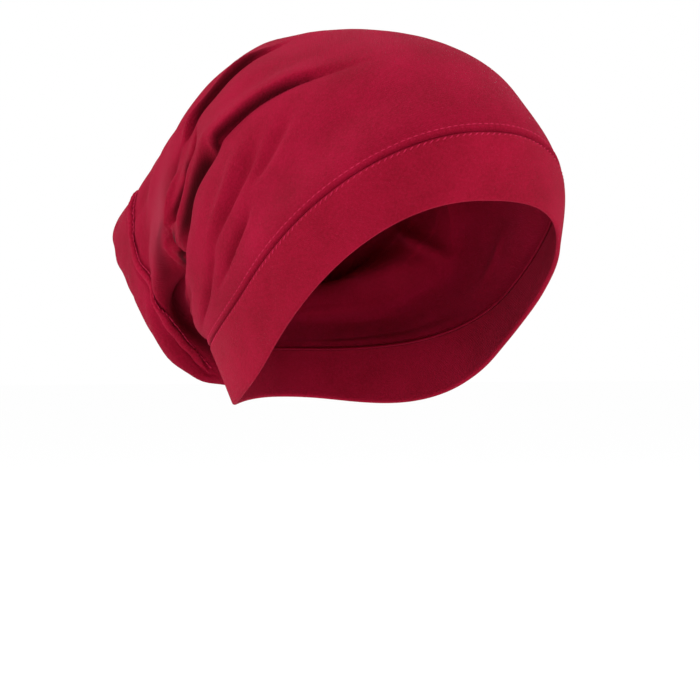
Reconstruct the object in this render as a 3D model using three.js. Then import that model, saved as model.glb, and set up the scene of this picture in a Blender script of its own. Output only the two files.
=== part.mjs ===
// A hijab underscarf cap: a soft jersey crown that falls into a slouching pouch at the back,
// sewn to a double jersey band that runs from the brow over the ears to the nape.
// Millimetres. The cap faces -Y, +Z is up and the wearer's right side is -X.
// The origin is the top of the head, where the inside of the crown rests.
import * as THREE from "three";

// Sizes of the worn cap.
const HEAD_LENGTH = 182; // brow to the back of the head, through the cloth
const CAP_HEIGHT = 164; // top of the head down to the rim at the nape
const CAP_WIDTH = 154; // over one ear to the other, through the cloth
const HALF_LOOP = 205; // cloth along one side of a loop, brow or top line down to the nape
const ROW_STEP = 26; // usual cloth between two rows of the table below
const BAND_WALL = 2.4; // two layers of jersey, folded at the rim
const CROWN_WALL = 1.6; // one layer of jersey
const SEAM_GAP = 0.3; // left open between two pieces
const RIDGE_WIDTH = 4.2; // sewn-together cloth edges that stand up along the back seam
const RIDGE_HEIGHT = 1.9;

// How finely the cloth is drawn.
const SIDE_STEPS = 26; // steps down one side of a loop
const CURVE_STEPS = 240; // steps in which a loop's curve is measured
const RIDGE_STEPS = 40;

// The cap is a row of loops, each hung like a headband: over the top, past the ear, round the nape.
// Lengths along the head are shares of HEAD_LENGTH, heights of CAP_HEIGHT, widths of half CAP_WIDTH.
// full is the squareness of the loop, taper how much it narrows at the nape, lean its shift to +X.
const ROWS = [
  //  name       topY    topZ    sideY   sideZ   napeY   napeZ   width   full  taper  lean
  ["rim",      -0.495, -0.470, -0.044, -0.878,  0.385, -0.988,  0.864,  2.5,  0.20,  0.0],
  ["seam",     -0.500, -0.293, -0.066, -0.689,  0.440, -0.860,  0.974,  2.15, 0.09, -0.026],
  ["brow",     -0.429, -0.165,  0.011, -0.628,  0.456, -0.829,  0.983,  1.98, 0.05, -0.026],
  ["front",    -0.269, -0.055,  0.088, -0.561,  0.473, -0.799,  0.994,  2.0,  0.03, -0.026],
  ["vertex",    0.044,  0.012,  0.198, -0.512,  0.489, -0.768,  0.961,  2.0,  0.04, -0.026],
  ["back",      0.297,  0.000,  0.374, -0.512,  0.505, -0.780,  0.805,  2.15, 0.05, -0.039],
  ["drop",      0.478, -0.152,  0.489, -0.549,  0.511, -0.872,  0.727,  2.4,  0.0,  -0.065],
  ["pouch",     0.621, -0.280,  0.604, -0.591,  0.533, -0.957,  0.623,  2.55, 0.0,  -0.104],
  ["round",     0.736, -0.384,  0.709, -0.579,  0.560, -0.912,  0.506,  2.7,  0.0,  -0.156],
  ["tail",      0.819, -0.451,  0.797, -0.567,  0.615, -0.823,  0.338,  2.7,  0.0,  -0.234],
  ["end",       0.846, -0.500,  0.830, -0.567,  0.687, -0.713,  0.000,  2.6,  0.0,  -0.325],
];
const LAST_ROW = ROWS.length - 1;

// Folds of the crown. side is -1 on the wearer's right, 1 on the left and 0 on both. A fold runs
// through three points, each a share u of the way from the top line to the nape and a row number.
// rise is its height, below zero for a crease, and spread half its width, both as shares of
// HALF_LOOP. fade and ebb are the shares of the run over which it grows and dies away.
const FOLDS = [
  // name             side   u1    row1   u2    row2   u3    row3    rise  spread  fade  ebb
  ["ear crease",        -1,  0.15,  3.35,  0.36,  3.85,  0.60,  3.60,  -0.024,  0.034,  0.40,  0.25],
  ["first roll",        -1,  0.16,  4.05,  0.34,  4.25,  0.52,  4.15,   0.012,  0.039,  0.30,  0.30],
  ["long crease",       -1,  0.17,  4.40,  0.34,  4.90,  0.53,  5.10,  -0.027,  0.034,  0.35,  0.25],
  ["outer roll",        -1,  0.10,  5.00,  0.32,  5.45,  0.60,  5.45,   0.003,  0.044,  0.40,  0.30],
  ["short crease",      -1,  0.37,  4.45,  0.47,  4.35,  0.58,  4.65,  -0.020,  0.029,  0.30,  0.30],
  ["cavity",            -1,  0.55,  4.40,  0.74,  4.15,  0.97,  4.25,  -0.073,  0.056,  0.35,  0.20],
  ["low cavity",        -1,  0.60,  4.90,  0.74,  5.15,  0.90,  5.50,  -0.060,  0.054,  0.40,  0.45],
  ["pouch lip",         -1,  0.48,  5.60,  0.64,  5.75,  0.86,  6.20,   0.006,  0.044,  0.35,  0.30],
  ["seam groove",       -1,  0.24,  7.35,  0.50,  6.35,  0.88,  6.35,  -0.012,  0.039,  0.25,  0.20],
  ["left crease",        1,  0.14,  3.90,  0.34,  4.20,  0.58,  3.90,  -0.027,  0.039,  0.35,  0.30],
  ["left long crease",   1,  0.16,  5.00,  0.36,  5.25,  0.58,  5.10,  -0.027,  0.039,  0.35,  0.30],
  ["left roll",          1,  0.14,  4.50,  0.36,  4.75,  0.56,  4.50,   0.015,  0.044,  0.35,  0.30],
  ["left cavity",        1,  0.50,  4.30,  0.72,  4.50,  0.97,  4.45,  -0.068,  0.068,  0.35,  0.20],
  ["left low cavity",    1,  0.60,  4.90,  0.74,  5.15,  0.90,  5.50,  -0.045,  0.054,  0.40,  0.45],
  ["left sag",           1,  0.30,  6.60,  0.60,  6.40,  0.90,  6.30,  -0.015,  0.049,  0.30,  0.30],
  ["top dip",            0,  -0.12,  4.75,  0.00,  4.60,  0.12,  4.75,  -0.010,  0.044,  0.30,  0.30],
];

// Where the back seam runs on the wearer's right flank of the pouch.
const BACK_SEAM = [
  // u     row
  [0.19,  7.85],
  [0.28,  7.50],
  [0.37,  7.20],
  [0.45,  7.00],
  [0.53,  6.70],
  [0.61,  6.30],
  [0.69,  5.98],
  [0.77,  5.98],
  [0.84,  6.25],
  [0.90,  6.60],
];

// A smooth curve through evenly spaced numbers.
function through(values, t) {
  const last = values.length - 1;
  const i = Math.min(Math.max(Math.floor(t), 0), last - 1);
  const s = t - i;
  const slope = (k) => {
    if (k === 0) return values[1] - values[0];
    if (k === last) return values[last] - values[last - 1];
    return (values[k + 1] - values[k - 1]) / 2;
  };
  const a = values[i];
  const b = values[i + 1];
  const s2 = s * s;
  const s3 = s2 * s;
  return a * (2 * s3 - 3 * s2 + 1) + slope(i) * (s3 - 2 * s2 + s)
    + b * (3 * s2 - 2 * s3) + slope(i + 1) * (s3 - s2);
}

// The sizes of the loop at any row, in millimetres. The last step closes the pouch roundly.
function loopAt(row) {
  const column = (k) => through(ROWS.map((r) => r[k]), row);
  const sizes = {
    top: new THREE.Vector3(0, column(1) * HEAD_LENGTH, column(2) * CAP_HEIGHT),
    side: new THREE.Vector3(0, column(3) * HEAD_LENGTH, column(4) * CAP_HEIGHT),
    nape: new THREE.Vector3(0, column(5) * HEAD_LENGTH, column(6) * CAP_HEIGHT),
    half: column(7) * CAP_WIDTH / 2,
    full: column(8),
    taper: column(9),
    lean: column(10) * CAP_WIDTH / 2,
  };
  if (row > LAST_ROW - 1) {
    const tail = ROWS[LAST_ROW - 1][7] * CAP_WIDTH / 2;
    sizes.half = tail * Math.sqrt(Math.max(LAST_ROW - row, 0));
  }
  return sizes;
}

// Points down one side of a loop, evenly spaced from the top line to the nape.
function sideOf(sizes, side) {
  const fine = [];
  for (let k = 0; k <= CURVE_STEPS; k++) {
    const angle = (Math.PI * k) / CURVE_STEPS;
    const power = 2 / sizes.full;
    const c = Math.sign(Math.cos(angle)) * Math.abs(Math.cos(angle)) ** power;
    const behind = Math.max(-c, 0) ** 1.8;
    const narrow = 1 - 1.6 * sizes.taper * ((1 - c) / 2) ** 2;
    const p = sizes.side.clone();
    p.addScaledVector(sizes.top.clone().sub(sizes.side), c);
    const bend = sizes.top.clone().add(sizes.nape).addScaledVector(sizes.side, -2);
    p.addScaledVector(bend, behind);
    p.x = side * sizes.half * Math.abs(Math.sin(angle)) ** power * narrow + sizes.lean;
    fine.push(p);
  }
  const run = [0];
  for (let k = 1; k <= CURVE_STEPS; k++) run.push(run[k - 1] + fine[k].distanceTo(fine[k - 1]));
  const points = [];
  let k = 0;
  for (let j = 0; j <= SIDE_STEPS; j++) {
    const want = (run[CURVE_STEPS] * j) / SIDE_STEPS;
    while (k < CURVE_STEPS - 1 && run[k + 1] < want) k++;
    const span = run[k + 1] - run[k];
    const share = span > 1e-9 ? (want - run[k]) / span : 0;
    points.push(fine[k].clone().lerp(fine[k + 1], Math.min(Math.max(share, 0), 1)));
  }
  return points;
}

// A whole loop: down the wearer's right side, then back up the left.
function ringAt(row) {
  const sizes = loopAt(row);
  const right = sideOf(sizes, -1);
  const left = sideOf(sizes, 1);
  const ring = [...right];
  for (let j = SIDE_STEPS - 1; j > 0; j--) ring.push(left[j]);
  return ring;
}

// Share of the way down its side, and the side, for a place in a ring.
function placeIn(j) {
  const onRight = j <= SIDE_STEPS;
  return { u: (onRight ? j : 2 * SIDE_STEPS - j) / SIDE_STEPS, side: onRight ? -1 : 1 };
}

function smooth(t) {
  const s = Math.min(Math.max(t, 0), 1);
  return s * s * (3 - 2 * s);
}

// How far the folds push the cloth out at a place.
function foldRise(u, side, row) {
  let rise = 0;
  for (const [, foldSide, u1, row1, u2, row2, u3, row3, height, spread, fade, ebb] of FOLDS) {
    const middle = u < 1e-6 || u > 1 - 1e-6;
    if (foldSide !== 0 && foldSide !== side && !middle) continue;
    const signed = foldSide === 0 ? u * side : u;
    let nearest = Infinity;
    let along = 0;
    for (let k = 0; k <= 16; k++) {
      const t = k / 16;
      const a = (1 - t) * (1 - 2 * t);
      const b = 4 * t * (1 - t);
      const c = t * (2 * t - 1);
      const du = (signed - (a * u1 + b * u2 + c * u3)) * HALF_LOOP;
      const dv = (row - (a * row1 + b * row2 + c * row3)) * ROW_STEP;
      const away = Math.hypot(du, dv);
      if (away < nearest) {
        nearest = away;
        along = t;
      }
    }
    const shape = Math.exp(-((nearest / (spread * HALF_LOOP)) ** 2));
    rise += height * HALF_LOOP * shape * smooth(along / fade) * smooth((1 - along) / ebb);
  }
  return rise;
}

// Outward directions of a sheet of rings. closed says that the last ring is folded shut.
function outward(rings, closed) {
  const around = rings[0].length;
  const last = rings.length - 1;
  const sums = rings.map((ring) => ring.map(() => new THREE.Vector3()));
  for (let i = 0; i < last; i++) {
    for (let j = 0; j < around; j++) {
      const k = (j + 1) % around;
      const across = rings[i + 1][k].clone().sub(rings[i][j]);
      const along = rings[i + 1][j].clone().sub(rings[i][k]);
      const face = along.cross(across);
      for (const [a, b] of [[i, j], [i, k], [i + 1, j], [i + 1, k]]) sums[a][b].add(face);
    }
  }
  if (closed) {
    for (let j = 1; j < around / 2; j++) {
      const both = sums[last][j].clone().add(sums[last][around - j]);
      sums[last][j].copy(both);
      sums[last][around - j].copy(both);
    }
  }
  for (const ring of sums) for (const n of ring) n.normalize();
  return sums;
}

// The two faces of a wall: every ring point moved out, and moved in, by half the wall there.
function facesOf(rings, halves, closed) {
  const normals = outward(rings, closed);
  const move = (way) => rings.map((ring, i) => ring.map(
    (p, j) => p.clone().addScaledVector(normals[i][j], way * halves[i]),
  ));
  return { outer: move(1), inner: move(-1), normals };
}

// A four-cornered patch is split along its shorter diagonal. True when that joins a and c.
function splitsAC(a, b, c, d) {
  return a.distanceTo(c) <= b.distanceTo(d);
}

// A sheet of rings made into a solid wall. Where half the wall is nothing the two faces meet.
function wallOf(rings, halves, closed) {
  const around = rings[0].length;
  const last = rings.length - 1;
  const { outer, inner } = facesOf(rings, halves, closed);
  const points = [];
  const numbers = new Map();
  const number = (i, j, way) => {
    const folded = closed && i === last && j > around / 2;
    const place = folded ? around - j : j;
    const skin = halves[i] === 0 ? 0 : way;
    const key = (i * around + place) * 3 + skin + 1;
    if (!numbers.has(key)) {
      numbers.set(key, points.length / 3);
      const p = (way > 0 ? outer : inner)[i][place];
      points.push(p.x, p.y, p.z);
    }
    return numbers.get(key);
  };
  const faces = [];
  for (let i = 0; i < last; i++) {
    for (let j = 0; j < around; j++) {
      const k = (j + 1) % around;
      for (const way of [1, -1]) {
        const skin = way > 0 ? outer : inner;
        const a = number(i, j, way);
        const b = number(i, k, way);
        const c = number(i + 1, k, way);
        const d = number(i + 1, j, way);
        const first = splitsAC(skin[i][j], skin[i][k], skin[i + 1][k], skin[i + 1][j]);
        const pair = first ? [[a, c, b], [a, d, c]] : [[a, d, b], [b, d, c]];
        for (const [p, q, r] of pair) faces.push(...(way > 0 ? [p, q, r] : [p, r, q]));
      }
    }
  }
  return solidFrom(points, faces);
}

function solidFrom(points, faces) {
  const geometry = new THREE.BufferGeometry();
  geometry.setAttribute("position", new THREE.Float32BufferAttribute(points, 3));
  geometry.setIndex(faces);
  geometry.computeVertexNormals();
  return geometry;
}

// The ring that lies a set distance from one ring towards another.
function ringTowards(from, to, distance) {
  return from.map((p, j) => p.clone().addScaledVector(to[j].clone().sub(p).normalize(), distance));
}

// Three rings that round off a cut or folded edge of a wall.
function roundedEdge(edge, inner, start, wall) {
  const reach = wall / 2;
  const rings = [0, 0.3 * reach, reach].map((d) => ringTowards(edge, inner, start + d));
  return { rings, halves: [0, 0.71 * reach, reach] };
}

const seamRing = ringAt(1);

function bandGeometry() {
  const low = roundedEdge(ringAt(0), ringAt(0.3), 0, BAND_WALL);
  const high = roundedEdge(seamRing, ringAt(0.8), SEAM_GAP / 2, BAND_WALL);
  const rings = [...low.rings];
  const halves = [...low.halves];
  for (const row of [0.2, 0.4, 0.6, 0.8]) {
    rings.push(ringAt(row));
    halves.push(BAND_WALL / 2);
  }
  rings.push(...high.rings.reverse());
  halves.push(...high.halves.reverse());
  return wallOf(rings, halves, false);
}

// Rows at which the crown is drawn: wide steps at the front, close ones where it folds.
function crownRows() {
  const rows = [];
  const stretches = [
    // from   to    steps
    [1.22, 3.10, 7],
    [3.10, 6.50, 21],
    [6.50, 9.00, 9],
  ];
  for (const [from, to, steps] of stretches) {
    for (let k = 0; k < steps; k++) rows.push(from + ((to - from) * k) / steps);
  }
  for (const share of [1, 0.72, 0.42, 0.16, 0.03, 0]) rows.push(LAST_ROW - share);
  return rows;
}

function crownRings() {
  const start = roundedEdge(seamRing, ringAt(1.4), SEAM_GAP / 2, CROWN_WALL);
  const rows = crownRows();
  const plain = rows.map(ringAt);
  const normals = outward(plain, true);
  const folded = plain.map((ring, i) => ring.map((p, j) => {
    const { u, side } = placeIn(j);
    return p.clone().addScaledVector(normals[i][j], foldRise(u, side, rows[i]));
  }));
  const last = folded.length - 1;
  for (let j = 1; j < SIDE_STEPS; j++) folded[last][2 * SIDE_STEPS - j].copy(folded[last][j]);
  return { rings: [...start.rings, ...folded], halves: [...start.halves, ...rows.map(() => CROWN_WALL / 2)] };
}

function crownGeometry() {
  const { rings, halves } = crownRings();
  return wallOf(rings, halves, true);
}

// The back seam: the sewn-together edges stand up as a low rounded ridge along the pouch.
function backSeamGeometry() {
  const { rings, halves } = crownRings();
  const { outer, normals } = facesOf(rings, halves, true);
  const skipped = rings.length - crownRows().length;
  const rows = crownRows();

  // The outer face of the crown at any u and row on the wearer's right.
  const onCrown = (u, row) => {
    let i = 0;
    while (i < rows.length - 2 && rows[i + 1] < row) i++;
    const s = (row - rows[i]) / (rows[i + 1] - rows[i]);
    const j = Math.min(Math.floor(u * SIDE_STEPS), SIDE_STEPS - 1);
    const t = u * SIDE_STEPS - j;
    const i0 = i + skipped;
    const a = outer[i0][j];
    const b = outer[i0][j + 1];
    const c = outer[i0 + 1][j + 1];
    const d = outer[i0 + 1][j];
    const p = a.clone();
    if (splitsAC(a, b, c, d)) {
      if (s > t) p.addScaledVector(d.clone().sub(a), s).addScaledVector(c.clone().sub(d), t);
      else p.addScaledVector(b.clone().sub(a), t).addScaledVector(c.clone().sub(b), s);
    } else if (s + t < 1) {
      p.addScaledVector(d.clone().sub(a), s).addScaledVector(b.clone().sub(a), t);
    } else {
      p.copy(c).addScaledVector(b.clone().sub(c), 1 - s).addScaledVector(d.clone().sub(c), 1 - t);
    }
    const n = normals[i0][j].clone().lerp(normals[i0][j + 1], t);
    n.lerp(normals[i0 + 1][j].clone().lerp(normals[i0 + 1][j + 1], t), s).normalize();
    return { p, n };
  };

  // Across the ridge: place from -1 to 1 and height as a share of RIDGE_HEIGHT.
  const outline = [
    [-1.0, 0.0],
    [-0.5, 0.0],
    [0.0, 0.0],
    [0.5, 0.0],
    [1.0, 0.0],
    [0.85, 0.6],
    [0.4, 0.95],
    [-0.4, 0.95],
    [-0.85, 0.6],
  ];
  const points = [];
  const faces = [];
  const count = outline.length;
  for (let k = 0; k <= RIDGE_STEPS; k++) {
    const t = (k / RIDGE_STEPS) * (BACK_SEAM.length - 1);
    const u = through(BACK_SEAM.map((p) => p[0]), t);
    const row = through(BACK_SEAM.map((p) => p[1]), t);
    const step = onCrown(u, row + 0.1).p.distanceTo(onCrown(u, row - 0.1).p) / 0.2;
    const ends = Math.min(k, RIDGE_STEPS - k) / 4;
    const swell = 0.35 + 0.65 * smooth(ends);
    for (const [place, height] of outline) {
      const across = (place * swell * RIDGE_WIDTH) / 2 / step;
      const { p, n } = onCrown(u, row + across);
      p.addScaledVector(n, SEAM_GAP + height * swell * RIDGE_HEIGHT);
      points.push(p.x, p.y, p.z);
    }
    if (k === 0) continue;
    for (let c = 0; c < count; c++) {
      const a = (k - 1) * count + c;
      const b = (k - 1) * count + ((c + 1) % count);
      faces.push(a, a + count, b, b, a + count, b + count);
    }
  }
  const end = RIDGE_STEPS * count;
  for (let c = 1; c < count - 1; c++) {
    faces.push(0, c, c + 1);
    faces.push(end, end + c + 1, end + c);
  }
  return solidFrom(points, faces);
}

const MATERIALS = {
  band: new THREE.MeshStandardMaterial({ color: 0x991731, roughness: 0.82, metalness: 0 }),
  crown: new THREE.MeshStandardMaterial({ color: 0x98182f, roughness: 0.85, metalness: 0 }),
  seam: new THREE.MeshStandardMaterial({ color: 0x9f1c36, roughness: 0.88, metalness: 0 }),
};

const group = new THREE.Group();
group.name = "underscarf_cap";

function addPiece(name, geometry, material) {
  const mesh = new THREE.Mesh(geometry, material);
  mesh.name = name;
  group.add(mesh);
}

addPiece("front_band", bandGeometry(), MATERIALS.band);
addPiece("crown", crownGeometry(), MATERIALS.crown);
addPiece("back_seam", backSeamGeometry(), MATERIALS.seam);

export default group;
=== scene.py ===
# %% [markdown]
# # A hijab underscarf cap
#
# A cap of soft jersey that is worn under a scarf. A folded double band runs from the brow over the
# ears to the nape. The crown is one layer, pulled smooth over the head, and falls into a slouching
# pouch at the back that holds the hair. This lesson dresses the fixed model of the cap: it makes
# the cloth again, finer, from the same loops and folds, and gives it a knit finish.

# %% Load the fixed model
import math

import bpy
import numpy as np
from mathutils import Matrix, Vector


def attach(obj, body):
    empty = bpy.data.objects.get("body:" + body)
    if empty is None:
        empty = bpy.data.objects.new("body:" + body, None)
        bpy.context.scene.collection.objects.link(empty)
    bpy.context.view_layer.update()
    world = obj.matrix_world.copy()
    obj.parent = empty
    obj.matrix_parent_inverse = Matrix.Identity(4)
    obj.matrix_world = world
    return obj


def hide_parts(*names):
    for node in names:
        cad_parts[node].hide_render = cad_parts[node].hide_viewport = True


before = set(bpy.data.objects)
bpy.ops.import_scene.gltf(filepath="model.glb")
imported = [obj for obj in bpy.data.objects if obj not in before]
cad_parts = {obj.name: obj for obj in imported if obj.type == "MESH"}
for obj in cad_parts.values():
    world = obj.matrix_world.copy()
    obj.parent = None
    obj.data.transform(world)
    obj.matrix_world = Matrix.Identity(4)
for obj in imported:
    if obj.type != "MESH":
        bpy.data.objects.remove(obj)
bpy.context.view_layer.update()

MM = 0.001
scene = bpy.context.scene

# %% [markdown]
# ## Camera
#
# A cap of this size is looked at level, from its right front, through a long lens. A long lens from
# far away keeps the near and the far side of the cap at nearly the same scale. The camera could be
# turned to aim at the cap, but then level lines would tilt, so it is moved sideways and down
# instead and keeps looking straight and level.

# %% Camera
VIEW_TURN = math.radians(35)
VIEW_FAR = 1.7
SENSOR = 36.0
PIXELS_WIDE = 700
PIXELS_PER_METRE = 2250
CAMERA_ASIDE = -0.00978
CAMERA_LEVEL = -0.13867

view_right = Vector((math.cos(VIEW_TURN), -math.sin(VIEW_TURN), 0))
view_ahead = Vector((math.sin(VIEW_TURN), math.cos(VIEW_TURN), 0))
camera_data = bpy.data.cameras.new("camera")
camera_data.sensor_width = SENSOR
camera_data.lens = SENSOR * VIEW_FAR * PIXELS_PER_METRE / PIXELS_WIDE
camera = bpy.data.objects.new("camera", camera_data)
camera.location = view_right * CAMERA_ASIDE - view_ahead * VIEW_FAR + Vector((0, 0, CAMERA_LEVEL))
camera.rotation_euler = (math.radians(90), 0, -VIEW_TURN)
scene.collection.objects.link(camera)
scene.camera = camera
print("lens", round(camera_data.lens, 1), "mm")

# %% [markdown]
# ## Floor
#
# The cap hangs over a wide pale floor that runs out into a white surround, as in a white studio. A
# curved paper wall behind the cap would look the same from here, but it would stand in the way of
# every view from the other side.

# %% Floor
FLOOR_LEVEL = -0.3
FLOOR_HALF = 12.0


def mesh_object(name, points, faces):
    """A new object with this mesh, at the origin."""
    mesh = bpy.data.meshes.new(name)
    mesh.from_pydata([tuple(p) for p in points], [], faces)
    mesh.update()
    obj = bpy.data.objects.new(name, mesh)
    scene.collection.objects.link(obj)
    return obj


corners = [
    (x * FLOOR_HALF, y * FLOOR_HALF, FLOOR_LEVEL) for x, y in ((-1, -1), (1, -1), (1, 1), (-1, 1))
]
floor = mesh_object("floor", corners, [(0, 1, 2, 3)])

paper = bpy.data.materials.new("pale_floor")
paper.use_nodes = True
paper_shader = paper.node_tree.nodes["Principled BSDF"]
paper_shader.inputs["Base Color"].default_value = (0.99, 0.99, 0.99, 1)
paper_shader.inputs["Roughness"].default_value = 1.0
paper_shader.inputs["Specular IOR Level"].default_value = 0.0
floor.data.materials.append(paper)
print("floor at", FLOOR_LEVEL)

# %% [markdown]
# ## Light
#
# Matt cloth shows its folds best in broad soft light. Two large panels stand left and right of the
# cap, a third hangs above it, and a white surround fills the shadows evenly. Small lamps would be
# simpler, but they would give hard edges to the shadows in the creases.

# %% Light
world = bpy.data.worlds.new("pale_world")
scene.world = world
world.use_nodes = True
world.node_tree.nodes["Background"].inputs["Color"].default_value = (1, 1, 1, 1)
world.node_tree.nodes["Background"].inputs["Strength"].default_value = 1.0

LIGHTS = [
    # name         right  ahead   up     wide  tall  watts
    ("left_panel", -1.15, -0.10, 0.35, 0.6, 1.0, 6.0),
    ("right_panel", 1.15, -0.20, 0.30, 0.7, 1.1, 5.0),
    ("top_panel", -0.1, 0.05, 1.15, 0.9, 0.8, 6.0),
]
LIT_POINT = Vector((0, 0, -0.08))
for name, right, ahead, up, wide, tall, watts in LIGHTS:
    lamp = bpy.data.lights.new(name, "AREA")
    lamp.shape = "RECTANGLE"
    lamp.size = wide
    lamp.size_y = tall
    lamp.energy = watts
    holder = bpy.data.objects.new(name, lamp)
    holder.location = view_right * right + view_ahead * ahead + Vector((0, 0, up))
    holder.rotation_euler = (LIT_POINT - holder.location).to_track_quat("-Z", "Y").to_euler()
    scene.collection.objects.link(holder)
scene.view_settings.view_transform = "Standard"
print(len(LIGHTS), "lights")

# %% [markdown]
# ## The loops of the cap
#
# A worn cap is a row of loops, each hung like a headband: over the top, past the ear and round the
# nape. A table gives each loop a few sizes, and a smooth curve through the table gives every loop
# between. It could be sculpted by hand, but then the cloth would no longer match the fixed model.

# %% Sizes and the table of loops
HEAD_LENGTH = 182  # these five are millimetres
CAP_HEIGHT = 164
CAP_WIDTH = 154
HALF_LOOP = 205
ROW_STEP = 26
CURVE_STEPS = 240
NAPE_BEND = 1.8  # how late a loop turns back to the nape
TAPER_PULL = 1.6  # how strongly a loop's taper narrows it at the nape

# Each Y is a share of the head length, each Z of the cap height, width and lean are shares of half
# the cap width, and full is 2 for an oval loop and more for a squarer one.
ROWS = [
    # name     topY    topZ    sideY   sideZ   napeY   napeZ   width  full  taper  lean
    ("rim", -0.495, -0.470, -0.044, -0.878, 0.385, -0.988, 0.864, 2.5, 0.20, 0.0),
    ("seam", -0.500, -0.293, -0.066, -0.689, 0.440, -0.860, 0.974, 2.15, 0.09, -0.026),
    ("brow", -0.429, -0.165, 0.011, -0.628, 0.456, -0.829, 0.983, 1.98, 0.05, -0.026),
    ("front", -0.269, -0.055, 0.088, -0.561, 0.473, -0.799, 0.994, 2.0, 0.03, -0.026),
    ("vertex", 0.044, 0.012, 0.198, -0.512, 0.489, -0.768, 0.961, 2.0, 0.04, -0.026),
    ("back", 0.297, 0.000, 0.374, -0.512, 0.505, -0.780, 0.805, 2.15, 0.05, -0.039),
    ("drop", 0.478, -0.152, 0.489, -0.549, 0.511, -0.872, 0.727, 2.4, 0.0, -0.065),
    ("pouch", 0.621, -0.280, 0.604, -0.591, 0.533, -0.957, 0.623, 2.55, 0.0, -0.104),
    ("round", 0.736, -0.384, 0.709, -0.579, 0.560, -0.912, 0.506, 2.7, 0.0, -0.156),
    ("tail", 0.819, -0.451, 0.797, -0.567, 0.615, -0.823, 0.338, 2.7, 0.0, -0.234),
    ("end", 0.846, -0.500, 0.830, -0.567, 0.687, -0.713, 0.000, 2.6, 0.0, -0.325),
]
SIZES = np.array([row[1:] for row in ROWS])
LAST_ROW = len(ROWS) - 1
print(len(ROWS), "loops in the table")


# %% Smooth curves
def smooth(t):
    """A soft step from 0 to 1."""
    s = np.clip(t, 0, 1)
    return s * s * (3 - 2 * s)


def through(values, t):
    """A smooth curve through evenly spaced rows of numbers, read at the places t."""
    values = np.asarray(values, float)
    t = np.atleast_1d(np.asarray(t, float))
    slopes = np.gradient(values, axis=0)
    i = np.clip(np.floor(t).astype(int), 0, len(values) - 2)
    s = t - i
    if values.ndim > 1:
        s = s[:, None]
    rise = 3 * s**2 - 2 * s**3
    return (
        values[i] * (1 - rise) + slopes[i] * (s**3 - 2 * s**2 + s)
        + values[i + 1] * rise + slopes[i + 1] * (s**3 - s**2)
    )


half_between = through(SIZES[:, 6], 0.5)[0] * CAP_WIDTH / 2
print("half width between rim and seam", round(float(half_between), 1), "mm")


# %% Loops
def side_of(sizes, side, shares):
    """Points down one side of a loop at the given shares of it, and the cloth down to each."""
    top_y, top_z, side_y, side_z, nape_y, nape_z, half, full, taper, lean = sizes
    angle = np.linspace(0, math.pi, CURVE_STEPS + 1)
    power = 2 / full
    c = np.sign(np.cos(angle)) * np.abs(np.cos(angle)) ** power
    behind = np.maximum(-c, 0) ** NAPE_BEND
    narrow = 1 - TAPER_PULL * taper * ((1 - c) / 2) ** 2
    fine = np.stack([
        side * half * np.abs(np.sin(angle)) ** power * narrow + lean,
        side_y + (top_y - side_y) * c + (top_y + nape_y - 2 * side_y) * behind,
        side_z + (top_z - side_z) * c + (top_z + nape_z - 2 * side_z) * behind,
    ], axis=1)
    run = np.concatenate([[0], np.cumsum(np.linalg.norm(np.diff(fine, axis=0), axis=1))])
    want = run[-1] * shares
    points = np.stack([np.interp(want, run, fine[:, k]) for k in range(3)], axis=1)
    return points, want


CLOSE_FROM, CLOSE_FROM_RAMP = 0.08, 0.08
CLOSE_TO, CLOSE_TO_RAMP = 0.72, 0.12


def shares_of(steps, close=0.0):
    """Shares down one side of a loop. close crowds the steps into the stretch with the folds."""
    fine = np.linspace(0, 1, 401)
    crowded = smooth((fine - CLOSE_FROM) / CLOSE_FROM_RAMP) * smooth((CLOSE_TO - fine) / CLOSE_TO_RAMP)
    weight = 1 + close * crowded
    run = np.concatenate([[0], np.cumsum((weight[1:] + weight[:-1]) / 2)])
    return np.interp(np.linspace(0, run[-1], steps + 1), run, fine)


def rings_at(rows, shares):
    """Whole loops, down the wearer's right side and back up the left, and the cloth to each point."""
    rows = np.asarray(rows, float)
    sizes = through(SIZES, rows)
    sizes[:, [0, 2, 4]] *= HEAD_LENGTH
    sizes[:, [1, 3, 5]] *= CAP_HEIGHT
    sizes[:, [6, 9]] *= CAP_WIDTH / 2
    last = rows > LAST_ROW - 1
    tail = SIZES[LAST_ROW - 1, 6] * CAP_WIDTH / 2
    sizes[last, 6] = tail * np.sqrt(np.maximum(LAST_ROW - rows[last], 0))
    rings, runs = [], []
    for row_sizes in sizes:
        right, run = side_of(row_sizes, -1, shares)
        left, _ = side_of(row_sizes, 1, shares)
        rings.append(np.concatenate([right, left[-2:0:-1]]))
        runs.append(run)
    return np.array(rings), np.array(runs)


def outward(rings, closed):
    """Outward directions at the points of a sheet of rings. closed: the last ring is folded shut."""
    nxt = np.roll(rings, -1, axis=1)
    face = np.cross(rings[1:] - nxt[:-1], nxt[1:] - rings[:-1])
    sums = np.zeros_like(rings)
    sums[:-1] += face + np.roll(face, 1, axis=1)
    sums[1:] += face + np.roll(face, 1, axis=1)
    if closed:
        around = rings.shape[1]
        other = (around - np.arange(around)) % around
        sums[-1] = sums[-1] + sums[-1][other]
    return sums / np.maximum(np.linalg.norm(sums, axis=2, keepdims=True), 1e-12)


_, test_runs = rings_at([0, 1, 4, 7], shares_of(40))
print("cloth down one side of four loops, mm:", [round(float(r[-1])) for r in test_runs])
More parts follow.
